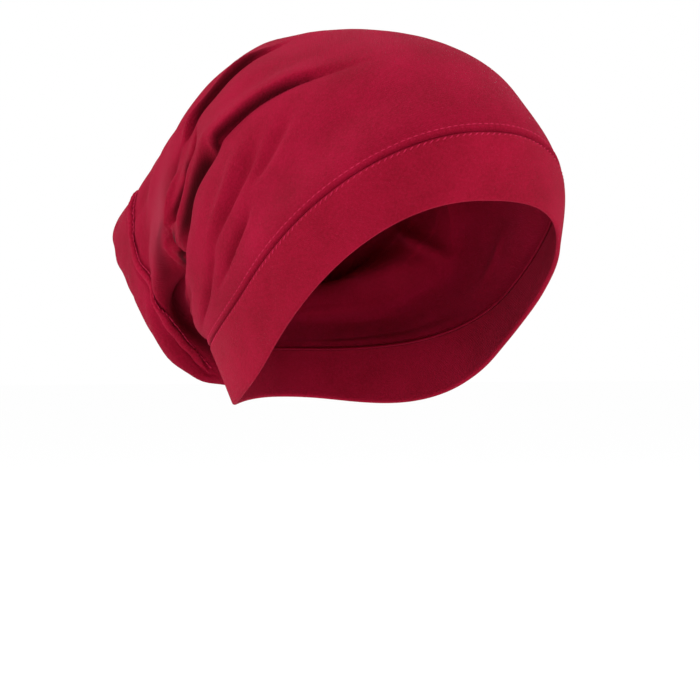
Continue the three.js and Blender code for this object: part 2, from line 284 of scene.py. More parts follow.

# %% [markdown]
# ## The folds
#
# Where the crown turns down behind the ear the cloth bunches up in creases and rolls. Each fold is
# one line of a table: it runs through a few places, and lifts or sinks the cloth beside it. The
# first table has the broad folds of the fixed model, but those behind the right ear are shallower
# in it and the two hollows there are left to the second. That one adds the sharp creases and small
# rolls that only a fine sheet can hold. A cloth simulation could find folds of its own, but not
# these ones, so they are listed one by one.

# %% Broad folds
# Each u is a share down one side of a loop, each row a place in the table of loops. Rise and spread
# are shares of HALF_LOOP. Over the shares fade and ebb of its run a fold grows and dies away.
BROAD_SAMPLES = 65
FOLDS = [
    # name         side   u1    row1  u2    row2  u3    row3    rise  spread fade  ebb
    ("ear crease", -1, 0.15, 3.35, 0.36, 3.85, 0.60, 3.65, -0.006, 0.034, 0.40, 0.25),
    ("first roll", -1, 0.16, 4.05, 0.34, 4.25, 0.52, 4.15, 0.004, 0.039, 0.30, 0.30),
    ("long crease", -1, 0.17, 4.50, 0.34, 4.90, 0.53, 5.00, -0.008, 0.030, 0.35, 0.25),
    ("outer roll", -1, 0.10, 5.00, 0.32, 5.45, 0.60, 5.45, 0.003, 0.044, 0.40, 0.30),
    ("short crease", -1, 0.37, 4.50, 0.47, 4.45, 0.58, 4.70, -0.008, 0.029, 0.30, 0.30),
    ("pouch lip", -1, 0.48, 5.60, 0.64, 5.75, 0.86, 6.20, 0.006, 0.044, 0.35, 0.30),
    ("seam groove", -1, 0.24, 7.35, 0.50, 6.35, 0.88, 6.35, -0.012, 0.039, 0.25, 0.20),
    ("left crease", 1, 0.14, 3.90, 0.34, 4.20, 0.58, 3.90, -0.027, 0.039, 0.35, 0.30),
    ("left long crease", 1, 0.16, 5.00, 0.36, 5.25, 0.58, 5.10, -0.027, 0.039, 0.35, 0.30),
    ("left roll", 1, 0.14, 4.50, 0.36, 4.75, 0.56, 4.50, 0.015, 0.044, 0.35, 0.30),
    ("left cavity", 1, 0.50, 4.30, 0.72, 4.50, 0.97, 4.45, -0.068, 0.068, 0.35, 0.20),
    ("left low cavity", 1, 0.60, 4.90, 0.74, 5.15, 0.90, 5.50, -0.045, 0.054, 0.40, 0.45),
    ("left sag", 1, 0.30, 6.60, 0.60, 6.40, 0.90, 6.30, -0.015, 0.049, 0.30, 0.30),
    ("top dip", 0, -0.12, 4.75, 0.00, 4.60, 0.12, 4.75, -0.010, 0.044, 0.30, 0.30),
]


def broad_rise(u, side, row):
    """How far the broad folds push the cloth out, in millimetres. u, side and row are arrays."""
    rise = np.zeros(u.shape)
    t = np.linspace(0, 1, BROAD_SAMPLES)
    a, b, c = (1 - t) * (1 - 2 * t), 4 * t * (1 - t), t * (2 * t - 1)
    middle = (u < 1e-6) | (u > 1 - 1e-6)
    for _, fold_side, u1, row1, u2, row2, u3, row3, height, spread, fade, ebb in FOLDS:
        signed = u * side if fold_side == 0 else u
        du = (signed[..., None] - (a * u1 + b * u2 + c * u3)) * HALF_LOOP
        dv = (row[..., None] - (a * row1 + b * row2 + c * row3)) * ROW_STEP
        away = np.hypot(du, dv)
        best = away.argmin(axis=-1)
        nearest = np.take_along_axis(away, best[..., None], -1)[..., 0]
        along = t[best]
        shape = np.exp(-((nearest / (spread * HALF_LOOP)) ** 2))
        lift = height * HALF_LOOP * shape * smooth(along / fade) * smooth((1 - along) / ebb)
        rise += np.where((side == fold_side) | (fold_side == 0) | middle, lift, 0)
    return rise


print(len(FOLDS), "broad folds")

# %% Fine folds
# Each line has a name, the side, its height, its spread before and behind in millimetres, its edge
# (1 for a sharp crease, 2 for a round one), how far the cloth behind it laps over it (below zero:
# the cloth before it), the shares of its run over which it grows and dies away, and its places.
FINE_FOLDS = [
    ("neck", -1, -4.5, 8.0, 14.0, 2, 0, 0.35, 0.30,
     [(0.62, 3.35), (0.70, 2.95), (0.77, 2.75), (0.90, 2.85)]),
    ("cavity", -1, -15.0, 10.0, 12.0, 2, 0, 0.30, 0.20,
     [(0.58, 4.42), (0.67, 4.12), (0.76, 4.02), (0.97, 4.25)]),
    ("low cavity", -1, -13.0, 11.5, 9.5, 2, 0, 0.40, 0.45,
     [(0.60, 4.90), (0.67, 5.05), (0.74, 5.25), (0.82, 5.48), (0.91, 5.70)]),
    ("ear crease, upper", -1, -3.4, 2.4, 0.9, 1, 1.6, 0.45, 0.10,
     [(0.09, 2.88), (0.14, 3.05), (0.19, 3.25), (0.24, 3.46), (0.30, 3.70), (0.36, 3.88),
      (0.42, 4.00)]),
    ("first roll, edge", -1, 3.0, 1.1, 5.0, 2, 0, 0.40, 0.15,
     [(0.14, 3.13), (0.19, 3.34), (0.24, 3.55), (0.30, 3.79), (0.36, 3.98), (0.42, 4.14)]),
    ("ear crease, lower", -1, -9.0, 4.6, 3.0, 2, 0, 0.18, 0.25,
     [(0.36, 3.92), (0.42, 4.08), (0.48, 4.16), (0.52, 4.14), (0.56, 4.08), (0.61, 4.00)]),
    ("first roll, end", -1, 1.8, 2.0, 2.4, 2, 0, 0.3, 0.3,
     [(0.38, 4.38), (0.44, 4.46), (0.49, 4.46), (0.54, 4.42), (0.575, 4.36)]),
    ("long crease", -1, -2.6, 2.0, 0.8, 1, 1.5, 0.25, 0.15,
     [(0.10, 4.14), (0.15, 4.32), (0.19, 4.46), (0.24, 4.60), (0.29, 4.74), (0.34, 4.94),
      (0.39, 5.10)]),
    ("strip, upper", -1, 3.4, 1.0, 2.4, 2, 0, 0.30, 0.25,
     [(0.13, 4.33), (0.19, 4.54), (0.24, 4.68), (0.29, 4.82), (0.34, 5.02), (0.39, 5.18)]),
    ("long crease, run out", -1, -3.6, 1.0, 3.0, 1, 0, 0.2, 0.3,
     [(0.37, 5.10), (0.44, 5.18), (0.52, 5.16), (0.575, 5.06), (0.63, 5.10), (0.68, 4.75),
      (0.73, 4.20)]),
    ("strip, lower", -1, 2.4, 1.8, 1.8, 2, 0, 0.2, 0.25,
     [(0.41, 4.92), (0.47, 4.96), (0.53, 4.94), (0.58, 4.90), (0.63, 4.80), (0.67, 4.45),
      (0.71, 4.00), (0.75, 3.50)]),
    ("short crease", -1, -5.0, 2.4, 1.0, 1, 1.0, 0.3, 0.12,
     [(0.34, 4.78), (0.40, 4.62), (0.47, 4.60), (0.52, 4.72), (0.57, 4.82)]),
    ("corner crease", -1, -5.5, 1.6, 2.2, 2, 0, 0.2, 0.25,
     [(0.570, 4.98), (0.583, 4.84), (0.598, 4.62), (0.612, 4.44), (0.626, 4.20)]),
    ("side wrinkle, upper", -1, -2.8, 2.6, 4.2, 2, 0, 0.4, 0.4,
     [(0.25, 3.10), (0.31, 2.86), (0.37, 2.66), (0.42, 2.56)]),
    ("side wrinkle, middle", -1, -3.2, 2.2, 4.2, 2, 0, 0.4, 0.4,
     [(0.30, 3.30), (0.36, 3.06), (0.42, 2.85), (0.50, 2.70), (0.56, 2.55)]),
    ("side ridge", -1, 1.6, 3.2, 3.2, 2, 0, 0.4, 0.4,
     [(0.34, 3.42), (0.40, 3.22), (0.46, 3.05), (0.54, 2.90)]),
    ("side wrinkle, lower", -1, -3.2, 2.2, 3.4, 2, 0, 0.4, 0.4,
     [(0.41, 2.40), (0.46, 2.15), (0.52, 1.95), (0.60, 1.65)]),
    ("side wrinkle, low", -1, -2.0, 2.2, 3.2, 2, 0, 0.4, 0.4,
     [(0.50, 2.85), (0.56, 2.40), (0.62, 2.00), (0.68, 1.62)]),
    ("nape wrinkle", -1, -2.0, 2.4, 3.0, 2, 0, 0.4, 0.4,
     [(0.58, 2.30), (0.65, 1.95), (0.72, 1.55)]),
    ("front dip", -1, -0.9, 6.0, 6.0, 2, 0, 0.4, 0.4,
     [(0.12, 2.00), (0.20, 2.20), (0.28, 2.10)]),
    ("flank wave, upper", -1, 1.0, 5.0, 5.0, 2, 0, 0.4, 0.4,
     [(0.22, 5.9), (0.32, 6.0), (0.42, 5.95), (0.50, 5.8)]),
    ("flank wave, lower", -1, -1.0, 4.0, 4.0, 2, 0, 0.4, 0.4,
     [(0.40, 5.6), (0.52, 5.55), (0.62, 5.4), (0.72, 5.5)]),
    ("left crease", 1, -4.0, 2.2, 2.6, 1, 1.2, 0.35, 0.35,
     [(0.18, 3.95), (0.26, 4.10), (0.36, 4.18), (0.46, 4.05), (0.54, 3.95)]),
    ("left long crease", 1, -4.0, 2.6, 1.6, 1, 1.0, 0.3, 0.35,
     [(0.18, 5.02), (0.26, 5.14), (0.36, 5.24), (0.46, 5.20), (0.54, 5.14)]),
    ("left corner crease", 1, -5.0, 2.4, 2.4, 2, 0, 0.3, 0.3,
     [(0.56, 4.85), (0.575, 4.40), (0.585, 4.00), (0.60, 3.55)]),
    ("left wrinkle, upper", 1, -0.9, 3.2, 3.2, 2, 0, 0.4, 0.4,
     [(0.28, 3.10), (0.34, 2.85), (0.40, 2.65)]),
    ("left wrinkle, lower", 1, -0.9, 3.2, 3.2, 2, 0, 0.4, 0.4,
     [(0.46, 2.60), (0.53, 2.30), (0.60, 2.00)]),
    ("left flank wave", 1, 1.2, 5.0, 5.0, 2, 0, 0.4, 0.4,
     [(0.24, 6.1), (0.36, 6.2), (0.48, 6.0), (0.58, 5.8)]),
    ("left flank crease", 1, -1.6, 3.6, 3.6, 2, 0, 0.4, 0.4,
     [(0.30, 7.3), (0.42, 7.0), (0.56, 6.8), (0.68, 6.9)]),
]
print(len(FINE_FOLDS), "fine folds")

# %% Dips beside the back seam
# Where the back seam runs on the wearer's right flank of the pouch, as (u, row).
BACK_SEAM = [
    (0.19, 7.85), (0.28, 7.50), (0.37, 7.20), (0.45, 7.00), (0.53, 6.70),
    (0.61, 6.30), (0.69, 5.98), (0.77, 5.98), (0.84, 6.25), (0.90, 6.60),
]
LINE_SAMPLES = 160
TRENCH_ROWS = (5.4, 8.3)
TRENCH_DEPTH = 1.1  # these three are millimetres
TRENCH_ASIDE = 2.6
TRENCH_SPREAD = 1.1


def distances(u, row, line, half_loop=HALF_LOOP):
    """How far each point lies from each place of a line, in millimetres of cloth."""
    x, y = u[..., None] * half_loop, row[..., None] * ROW_STEP
    return np.hypot(x - line[:, 0], y - line[:, 1])


def line_through(places, samples, half_loop=HALF_LOOP):
    """A smooth line through places given as (u, row), in millimetres of cloth."""
    return through(places, np.linspace(0, 1, samples) * (len(places) - 1)) * (half_loop, ROW_STEP)


def near_to(line, fold_side, u, side, row, reach):
    """Which points lie on the line's side and within reach of it."""
    low, high = line.min(axis=0) - reach, line.max(axis=0) + reach
    x, y = u * HALF_LOOP, row * ROW_STEP
    return (side == fold_side) & (x > low[0]) & (x < high[0]) & (y > low[1]) & (y < high[1])


def seam_dips(u, side, row):
    """The cloth dips on both sides of the back seam, where the thread pulls it down."""
    dip = np.zeros(u.shape)
    close = (side < 0) & (row > TRENCH_ROWS[0]) & (row < TRENCH_ROWS[1])
    away = distances(u[close], row[close], line_through(BACK_SEAM, LINE_SAMPLES)).min(axis=1)
    dip[close] = -TRENCH_DEPTH * np.exp(-(((away - TRENCH_ASIDE) / TRENCH_SPREAD) ** 2))
    return dip


print("back seam runs over rows", BACK_SEAM[0][1], "to", min(place[1] for place in BACK_SEAM))

# %% Shape of the fine folds
FINE_SAMPLES = 60
LEAST_REACH = 14  # millimetres, as the two sizes of the lap below
LAP_ASIDE = 2.4
LAP_SPREAD = 1.6
REACH_SPREADS = 2.6


def fine_rise(u, side, row):
    """How far the fine folds push the cloth out, and how far they lap it down the loop and across
    the rows, all in millimetres."""
    rise, lap_down, lap_across = (np.zeros(u.shape) for _ in range(3))
    for _, fold_side, height, before, behind, edge, lap, fade, ebb, places in FINE_FOLDS:
        line = line_through(places, FINE_SAMPLES)
        ways = np.gradient(line, axis=0)
        ways /= np.linalg.norm(ways, axis=1, keepdims=True)
        if line[-1, 0] < line[0, 0]:
            ways = -ways
        reach = max(LEAST_REACH, REACH_SPREADS * max(before, behind))
        close = near_to(line, fold_side, u, side, row, reach)
        best = distances(u[close], row[close], line).argmin(axis=1)
        dx = u[close] * HALF_LOOP - line[best, 0]
        dy = row[close] * ROW_STEP - line[best, 1]
        step = np.linalg.norm(np.diff(line, axis=0), axis=1).mean()
        turned = ways[best, 0] * dy - ways[best, 1] * dx
        ahead = ways[best, 0] * dx + ways[best, 1] * dy
        nearest = np.hypot(turned, np.maximum(np.abs(ahead) - step, 0))
        spread = np.where(turned > 0, behind, before)
        along = best / (FINE_SAMPLES - 1)
        grown = smooth(along / fade) * smooth((1 - along) / ebb)
        rise[close] += height * np.exp(-((nearest / spread) ** edge)) * grown
        if lap:
            over = turned * lap > 0
            far = np.where(over, nearest, 0)
            pull = -lap * np.exp(-(((far - LAP_ASIDE) / LAP_SPREAD) ** 2)) * over * grown
            lap_down[close] += pull * -ways[best, 1]
            lap_across[close] += pull * ways[best, 0]
    return rise, lap_down, lap_across


laps = sum(1 for fold in FINE_FOLDS if fold[6])
print(laps, "of the fine folds lap over themselves")

# %% [markdown]
# ## Painted shade in deep creases
#
# In a real crease the cloth touches itself and hardly any light comes in. Dents that deep would
# make this sheet cut through itself, so the deepest lines are marked on the cloth instead, and the
# finish paints their shade in as a near-black colour.

# %% Painted crease shade
# Each line has the side, how wide it is in millimetres, how dark its painted shade is from 0 to 1,
# and its places (u, row).
CREASE_SHADE_FADE = 0.25
CREASE_SHADE_EBB = 0.2
CREASE_SHADE_LINES = [
    (-1, 1.0, 0.95, [(0.18, 3.22), (0.22, 3.39), (0.26, 3.57), (0.30, 3.73), (0.34, 3.87),
                     (0.38, 3.99), (0.43, 4.11)]),
    (-1, 2.0, 1.0, [(0.38, 4.06), (0.42, 4.17), (0.46, 4.25), (0.50, 4.29), (0.54, 4.25),
                    (0.61, 4.20)]),
    (-1, 1.0, 0.95, [(0.12, 4.30), (0.17, 4.45), (0.22, 4.58), (0.25, 4.67), (0.29, 4.79),
                     (0.33, 4.92), (0.38, 5.07)]),
    (-1, 0.9, 0.7, [(0.38, 5.08), (0.42, 5.12), (0.46, 5.12), (0.50, 5.08), (0.54, 5.05),
                    (0.58, 5.06), (0.63, 5.16)]),
    (-1, 1.1, 0.8, [(0.41, 4.72), (0.44, 4.66), (0.47, 4.62), (0.50, 4.72), (0.53, 4.80),
                    (0.56, 4.84)]),
    (-1, 1.8, 1.0, [(0.570, 4.70), (0.583, 4.52), (0.598, 4.48), (0.615, 4.53), (0.635, 4.56),
                    (0.67, 4.62)]),
    (-1, 3.6, 0.45, [(0.52, 5.30), (0.56, 5.38), (0.60, 5.42), (0.64, 5.44), (0.70, 5.48)]),
    (-1, 7.0, 0.75, [(0.74, 5.00), (0.80, 5.30), (0.86, 5.70), (0.91, 5.95), (0.95, 6.20),
                     (0.99, 6.60)]),
]


def painted_crease_shade(u, side, row):
    """How much painted shade each point gets in the deepest creases, from 0 to 1."""
    depth = np.zeros(u.shape)
    for line_side, wide, dark, places in CREASE_SHADE_LINES:
        line = line_through(places, LINE_SAMPLES)
        close = near_to(line, line_side, u, side, row, 3 * wide)
        away = distances(u[close], row[close], line)
        along = away.argmin(axis=1) / (LINE_SAMPLES - 1)
        here = dark * np.exp(-((away.min(axis=1) / wide) ** 2))
        here *= smooth(along / CREASE_SHADE_FADE) * smooth((1 - along) / CREASE_SHADE_EBB)
        depth[close] = np.maximum(depth[close], here)
    return depth


print(len(CREASE_SHADE_LINES), "deep lines")

# %% [markdown]
# ## The crown
#
# One layer of jersey from the band seam to the end of the pouch. Its hem lies behind the band, so
# that no light shows through the seam. A cube or a sphere could be sculpted to this shape, but a
# grid of loops, with close rows where the folds are, follows the tables exactly. It is drawn as the
# middle of the cloth, and a Solidify modifier gives it its two faces.

# %% Crown rows
CROWN_STEPS = 108
CROWN_CLOTH = 1.1 * MM
SEAM_ROW = 1.02
HEM_ROW = 0.955
END_ROWS = 16
ROW_STRETCHES = [
    # from, to, how many rows
    (HEM_ROW, SEAM_ROW, 4),
    (SEAM_ROW, 1.22, 8),
    (1.22, 3.3, 34),
    (3.3, 5.3, 104),
    (5.3, 7.0, 38),
    (7.0, LAST_ROW - 1, 24),
]


def crown_rows():
    """The rows of the crown sheet. Towards the end of the pouch they close up, as on a dome."""
    rows = [np.linspace(start, end, count, endpoint=False) for start, end, count in ROW_STRETCHES]
    rows.append(LAST_ROW - np.linspace(1, 0, END_ROWS) ** 2)
    return np.concatenate(rows)


def places_in(rows, shares):
    """The share down its side, the side and the row of every point of the rings."""
    u = np.concatenate([shares, shares[-2:0:-1]])
    side = np.where(np.arange(len(u)) < len(shares), -1, 1)
    shape = (len(rows), len(u))
    return (
        np.broadcast_to(u, shape).copy(), np.broadcast_to(side, shape).copy(),
        np.broadcast_to(np.asarray(rows)[:, None], shape).copy(),
    )


def slack(u, side, row):
    """The small uneven waves of worn jersey, in millimetres. Their lengths and slants differ, so
    that no pattern can be seen."""
    x, y = u * side * HALF_LOOP, row * ROW_STEP
    return (
        np.sin(x / 9.1 + 1.7 * np.sin(y / 31)) * np.sin(y / 12.7 + 0.8)
        + 0.7 * np.sin(x / 5.3 - y / 7.9 + 2.1) * np.sin(x / 23 + y / 17)
        + 0.5 * np.sin(x / 3.7 + y / 11.3) * np.sin(y / 4.9 - x / 19 + 1.1)
    )


rows = crown_rows()
print(len(rows), "rows of", 2 * CROWN_STEPS, "places")

# %% Crown sheet
WAVES_TIGHT = 0.10  # millimetres, as the swell, the dip and the drop below
WAVES_LOOSE = 0.35
SEAM_SWELL = 0.6
SEAM_DIP = 1.1
HEM_DROP = 0.95
SWELL_ROW, SWELL_ROWS = 1.09, 0.04
DIP_ROW, DIP_ROWS_WIDE = 1.075, 0.055
DROP_ROWS_WIDE = 0.045
LOOSE_ROW, LOOSE_ROWS_WIDE = 2.6, 1.4
END_ROWS_WIDE = 0.8

crown_shares = shares_of(CROWN_STEPS, close=1.6)
plain, runs = rings_at(rows, crown_shares)
u, side, row = places_in(rows, crown_shares)
normals = outward(plain, True)
broad = broad_rise(u, side, row)
fine, lap_down, lap_across = fine_rise(u, side, row)
# inside is the painted crease shade of each point, from 0 to 1
inside = painted_crease_shade(u, side, row)
loose = smooth((row - LOOSE_ROW) / LOOSE_ROWS_WIDE) * smooth((LAST_ROW - row) / END_ROWS_WIDE)
waves = slack(u, side, row) * (WAVES_TIGHT + WAVES_LOOSE * loose)
swell = SEAM_SWELL * np.exp(-(((row - SWELL_ROW) / SWELL_ROWS) ** 2))
tuck = -SEAM_DIP * smooth((DIP_ROW - row) / DIP_ROWS_WIDE)
tuck -= HEM_DROP * smooth((SEAM_ROW - row) / DROP_ROWS_WIDE)
lift = broad + fine + waves + swell + tuck + seam_dips(u, side, row)
downward = np.roll(plain, -1, axis=1) - np.roll(plain, 1, axis=1)
downward *= np.where(side < 0, 1, -1)[..., None]
backward = np.gradient(plain, axis=0)
for ways in (downward, backward):
    ways /= np.maximum(np.linalg.norm(ways, axis=2, keepdims=True), 1e-9)
folded = plain + normals * lift[..., None]
folded += downward * lap_down[..., None] + backward * lap_across[..., None]
folded[-1, CROWN_STEPS + 1:] = folded[-1, CROWN_STEPS - 1:0:-1]
print("deepest crease", round(float(lift.min()), 1), "mm")

# %% [markdown]
# ## From grid to mesh
#
# Each grid of loops becomes a mesh with a map in metres, so that the knit has one size all over. It
# could be unwrapped afterwards, but the lengths along and round the cloth are known here already.

# %% Sheet maker
def sheet_of(name, rings, runs, lengths, closed, marks):
    """A mesh from rings, with a map in metres: round the loop, and along from row to row."""
    count, around = rings.shape[:2]
    steps = around // 2
    index = np.arange(count * around).reshape(count, around)
    keep = count * around
    if closed:
        index[-1, steps + 1:] = index[-1, steps - 1:0:-1]
        keep = (count - 1) * around + steps + 1
    j = np.arange(around)
    k = (j + 1) % around
    quads = np.stack([
        index[:-1][:, j], index[1:][:, j], index[1:][:, k], index[:-1][:, k]
    ], axis=-1).reshape(-1, 4)
    first = np.repeat(np.arange(count - 1), around)
    ring_j = np.tile(j, count - 1)
    faces = [tuple(dict.fromkeys(q)) for q in quads.tolist()]
    obj = mesh_object(name, (rings.reshape(-1, 3)[:keep] * MM).tolist(), faces)
    mesh = obj.data
    layer = mesh.uv_layers.new(name="cloth")
    values = []
    for n, q in enumerate(quads.tolist()):
        i, a = int(first[n]), int(ring_j[n])
        seen = set()
        for at, (ri, rj) in zip(q, ((i, a), (i + 1, a), (i + 1, a + 1), (i, a + 1))):
            if at in seen:
                continue
            seen.add(at)
            place = runs[ri][rj] if a < steps else -runs[ri][2 * steps - rj]
            values.extend((place * MM, lengths[ri] * MM))
    layer.data.foreach_set("uv", values)
    for mark, numbers in marks.items():
        store = mesh.attributes.new(mark, "FLOAT", "POINT")
        store.data.foreach_set("value", numbers.reshape(-1)[:keep].astype(np.float32))
    mesh.update()
    mesh.shade_smooth()
    return obj


def activate(obj):
    bpy.ops.object.select_all(action="DESELECT")
    obj.select_set(True)
    bpy.context.view_layer.objects.active = obj


def thicken(obj, thickness):
    """Two faces for a sheet that is drawn through the middle of its cloth."""
    activate(obj)
    wall = obj.modifiers.new("wall", "SOLIDIFY")
    wall.thickness = thickness
    wall.offset = 0
    bpy.ops.object.modifier_apply(modifier="wall")
    obj.data.shade_smooth()


def triangles(obj):
    return sum(len(p.vertices) - 2 for p in obj.data.polygons)


def lengths_along(rings):
    """The cloth from the first ring to each ring, in the units of the rings."""
    steps = np.linalg.norm(np.diff(rings, axis=0), axis=2).mean(axis=1)
    return np.concatenate([[0], np.cumsum(steps)])


crown_lengths = lengths_along(plain)
print("crown cloth from the hem to the end", round(float(crown_lengths[-1])), "mm")

# %% Crown piece
CREST_FULL = 4  # millimetres of rise that make a whole crest
STRETCH_U, STRETCH_U_WIDE = 0.52, 0.11
STRETCH_ROW, STRETCH_ROWS_WIDE = 5.55, 0.35
FRONT_ROW, FRONT_ROWS_WIDE = 2.0, 0.9
SLIGHT_STRETCH = 0.06

flank = ((u - STRETCH_U) / STRETCH_U_WIDE) ** 2 + ((row - STRETCH_ROW) / STRETCH_ROWS_WIDE) ** 2
front = ((row - FRONT_ROW) / FRONT_ROWS_WIDE) ** 2
stretch = np.exp(-flank) * (side < 0) + SLIGHT_STRETCH * np.exp(-front)
crown_marks = {
    "crest": np.clip(lift / CREST_FULL, -1, 1),
    "stretch": np.clip(stretch, 0, 1),
    # the mark inside carries the painted crease shade to the finish
    "inside": inside,
}
crown = sheet_of("jersey_crown", folded, runs, crown_lengths, True, crown_marks)
thicken(crown, CROWN_CLOTH)
print("crown triangles", triangles(crown))

# %% [markdown]
# ## The band
#
# The band is one strip of jersey folded in half along the rim, with both raw edges caught in the
# crown seam. A flat ring could be extruded and bevelled, but the strip is drawn as the crown is, so
# that both meet along the same loop: it starts inside at the seam, runs down, turns round the rim
# and comes up outside. Its outer top edge turns in a little, where the seam pulls it down.

# %% Band sheet
BAND_STEPS = 130
BAND_HALF = 0.68  # millimetres from the middle of the band to the middle of each layer
BAND_CLOTH = 0.95 * MM
TURN_STEPS = 7
RIM_ROW = 0.03
RIM_DROP = 0.026
INNER_TOP_ROW = 0.985
INNER_ROWS = 26
OUTER_TOP_ROW = 0.90
OUTER_ROWS = 28
TUCK_ROWS = (0.93, 0.95, 0.965, 0.98, 0.99)
TUCK_DEPTH = 1.1
BASE_LOOPS = 8


def band_profile():
    """Row, and distance from the middle of the band in millimetres, along the folded strip."""
    down = [(r, -BAND_HALF) for r in np.linspace(INNER_TOP_ROW, RIM_ROW, INNER_ROWS)]
    turn = []
    for k in range(1, TURN_STEPS):
        a = math.pi * k / TURN_STEPS
        turn.append((RIM_ROW - RIM_DROP * math.sin(a), -BAND_HALF * math.cos(a)))
    up = [(r, BAND_HALF) for r in np.linspace(RIM_ROW, OUTER_TOP_ROW, OUTER_ROWS)]
    tuck = []
    for r in TUCK_ROWS:
        turned_in = float(smooth((r - TUCK_ROWS[0]) / (TUCK_ROWS[-1] - TUCK_ROWS[0])))
        tuck.append((r, BAND_HALF - TUCK_DEPTH * turned_in))
    return down + turn + up + tuck


profile = np.array(band_profile())
band_shares = shares_of(BAND_STEPS)
band_rings, band_runs = rings_at(profile[:, 0], band_shares)
base_rings, _ = rings_at(np.linspace(0, 1, BASE_LOOPS + 1), band_shares)
base_out = outward(base_rings, False)
base_place = profile[:, 0] * BASE_LOOPS
low = base_place.astype(int)
mix = (base_place - low)[:, None, None]
band_out = base_out[low] * (1 - mix) + base_out[low + 1] * mix
band_out /= np.linalg.norm(band_out, axis=2, keepdims=True)
print("band strip has", len(profile), "rows of", 2 * BAND_STEPS, "places")

# %% Band wrinkles
BAND_LOOP = HALF_LOOP * 1.2  # about half the length of the band's loop, in millimetres
BAND_SLACK = 0.16
BAND_SAMPLES = 30
BAND_FADE = 0.3
INNER_SHARE = 0.35  # how much of a wrinkle shows in the inner layer
BAND_CREST_FULL = 2
BAND_FOLDS = [
    # side, height mm, spread mm, places (u, row)
    (-1, -0.45, 1.6, [(0.02, 0.22), (0.10, 0.24), (0.18, 0.20)]),
    (-1, -0.7, 2.2, [(0.74, 0.92), (0.77, 0.60), (0.78, 0.25)]),
    (1, -0.45, 1.8, [(0.30, 0.80), (0.36, 0.50), (0.40, 0.20)]),
    (1, -0.6, 2.2, [(0.72, 0.90), (0.75, 0.55), (0.77, 0.20)]),
    (-1, -0.35, 2.4, [(0.44, 0.85), (0.47, 0.50), (0.48, 0.20)]),
]


def band_rise(u, side, row):
    """How far the wrinkles push the band out, in millimetres."""
    rise = BAND_SLACK * slack(u, side, row * 0.8)
    for fold_side, height, spread, places in BAND_FOLDS:
        away = distances(u, row, line_through(places, BAND_SAMPLES, BAND_LOOP), BAND_LOOP)
        along = away.argmin(axis=-1) / (BAND_SAMPLES - 1)
        shape = np.exp(-((away.min(axis=-1) / spread) ** 2))
        shape *= smooth(along / BAND_FADE) * smooth((1 - along) / BAND_FADE)
        rise += np.where(side == fold_side, height * shape, 0)
    return rise


band_u, band_side, band_row = places_in(profile[:, 0], band_shares)
outer = smooth((profile[:, 1][:, None] + BAND_HALF) / (2 * BAND_HALF))
shift = band_rise(band_u, band_side, band_row) * (INNER_SHARE + (1 - INNER_SHARE) * outer)
band_points = band_rings + band_out * (profile[:, 1][:, None] + shift)[..., None]
print("deepest band wrinkle", round(float(shift.min()), 1), "mm")

# %% Band piece
band_lengths = lengths_along(band_points)
band_marks = {
    "crest": np.clip(shift / BAND_CREST_FULL, -1, 1),
    "stretch": np.full(shift.shape, SLIGHT_STRETCH),
    "inside": np.zeros(shift.shape),
}
band = sheet_of("jersey_band", band_points, band_runs, band_lengths, False, band_marks)
thicken(band, BAND_CLOTH)
print("band triangles", triangles(band), "strip", round(float(band_lengths[-1])), "mm wide")

# %% [markdown]
# ## The back seam
#
# Two edges of the crown are sewn together on the right flank of the pouch, and they show as a soft,
# puckered ridge. It could be a plain tube bent along the seam, but it has to lie on the folded
# cloth and to swell and narrow where the thread pulls it in, so it is built section by section
# from places on the finished crown.

# %% Seam line on the crown
RIDGE_STEPS = 330
crown_out = outward(folded, True)


def on_crown(u, row):
    """The place and the outward direction of the crown's cloth on the wearer's right."""
    i = int(np.clip(np.searchsorted(rows, row, side="right") - 1, 0, len(rows) - 2))
    s = (row - rows[i]) / (rows[i + 1] - rows[i])
    j = int(np.clip(np.searchsorted(crown_shares, u, side="right") - 1, 0, CROWN_STEPS - 1))
    t = (u - crown_shares[j]) / (crown_shares[j + 1] - crown_shares[j])
    weights = (
        (i, j, (1 - s) * (1 - t)), (i, j + 1, (1 - s) * t),
        (i + 1, j + 1, s * t), (i + 1, j, s * (1 - t)),
    )
    place = sum(folded[a, b] * w for a, b, w in weights)
    direction = sum(crown_out[a, b] * w for a, b, w in weights)
    return place, direction / np.linalg.norm(direction)


seam_line = through(BACK_SEAM, np.linspace(0, len(BACK_SEAM) - 1, RIDGE_STEPS))
seam_spots = [on_crown(seam_u, seam_row) for seam_u, seam_row in seam_line]
points = np.array([place for place, _ in seam_spots])
directions = np.array([direction for _, direction in seam_spots])
ways = np.gradient(points, axis=0)
ways /= np.linalg.norm(ways, axis=1, keepdims=True)
across = np.cross(directions, ways)
across /= np.linalg.norm(across, axis=1, keepdims=True)
run = np.concatenate([[0], np.cumsum(np.linalg.norm(np.diff(points, axis=0), axis=1))])
print("back seam", round(float(run[-1])), "mm long")


